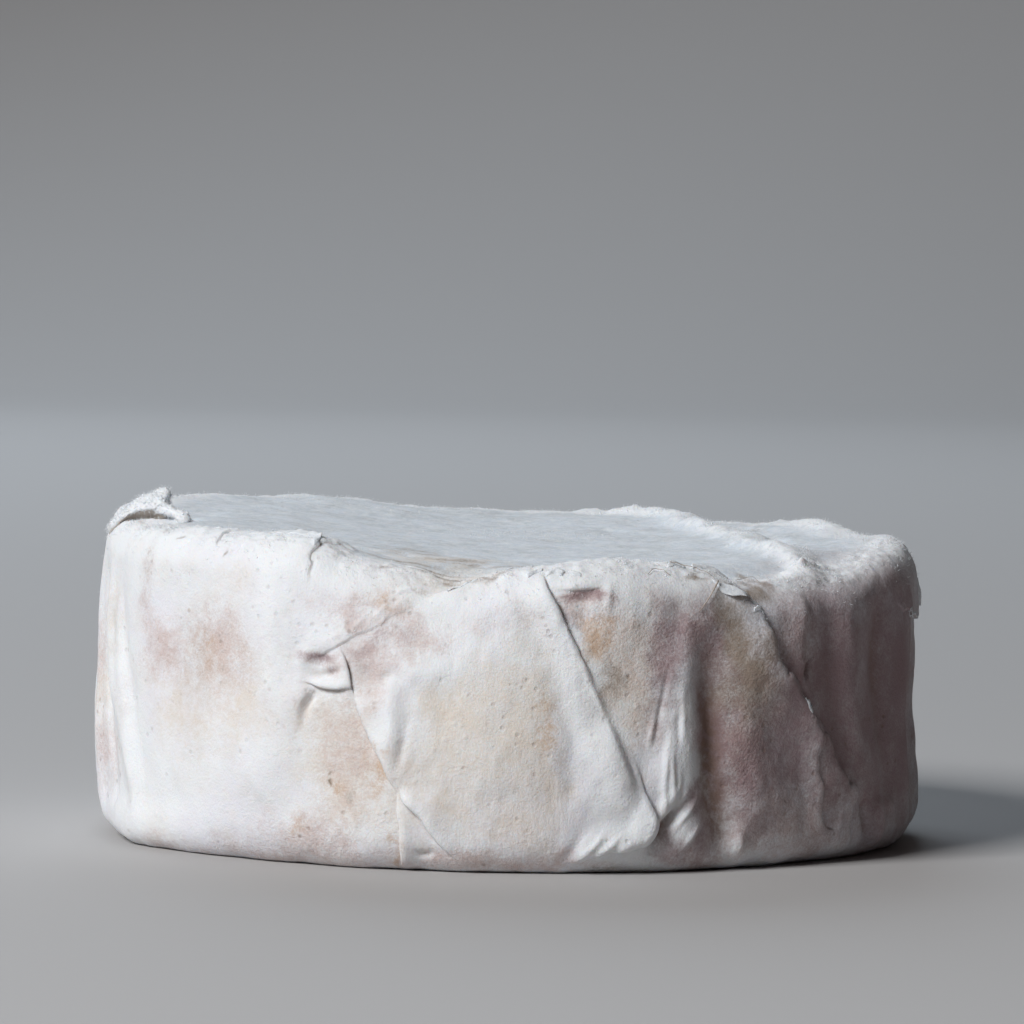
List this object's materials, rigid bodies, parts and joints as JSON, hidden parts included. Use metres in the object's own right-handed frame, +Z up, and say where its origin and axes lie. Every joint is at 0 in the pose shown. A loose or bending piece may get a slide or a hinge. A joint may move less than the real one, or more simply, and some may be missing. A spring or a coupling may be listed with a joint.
{
  "type": "cheese wheel",
  "caption": "Small uncut soft-ripened cheese wheel with a white bloomy rind set in cloth-like folds; a display food item that rests on its flat foot.",
  "frame": {"origin": "middle of the flat foot, at the bottom centre of the bounding box", "axes": "+Z up through the wheel's thickness, -Y towards the side with the long laps (the front), +X to the right seen from the front"},
  "size_m": [0.111, 0.1108, 0.0447],
  "materials": {
    "rind": "matte velvety bloom, white to ivory with pinkish-brown and ochre patches"
  },
  "bodies": {
    "root": {"cheese_wheel": "rind"}
  },
  "joints": []
}
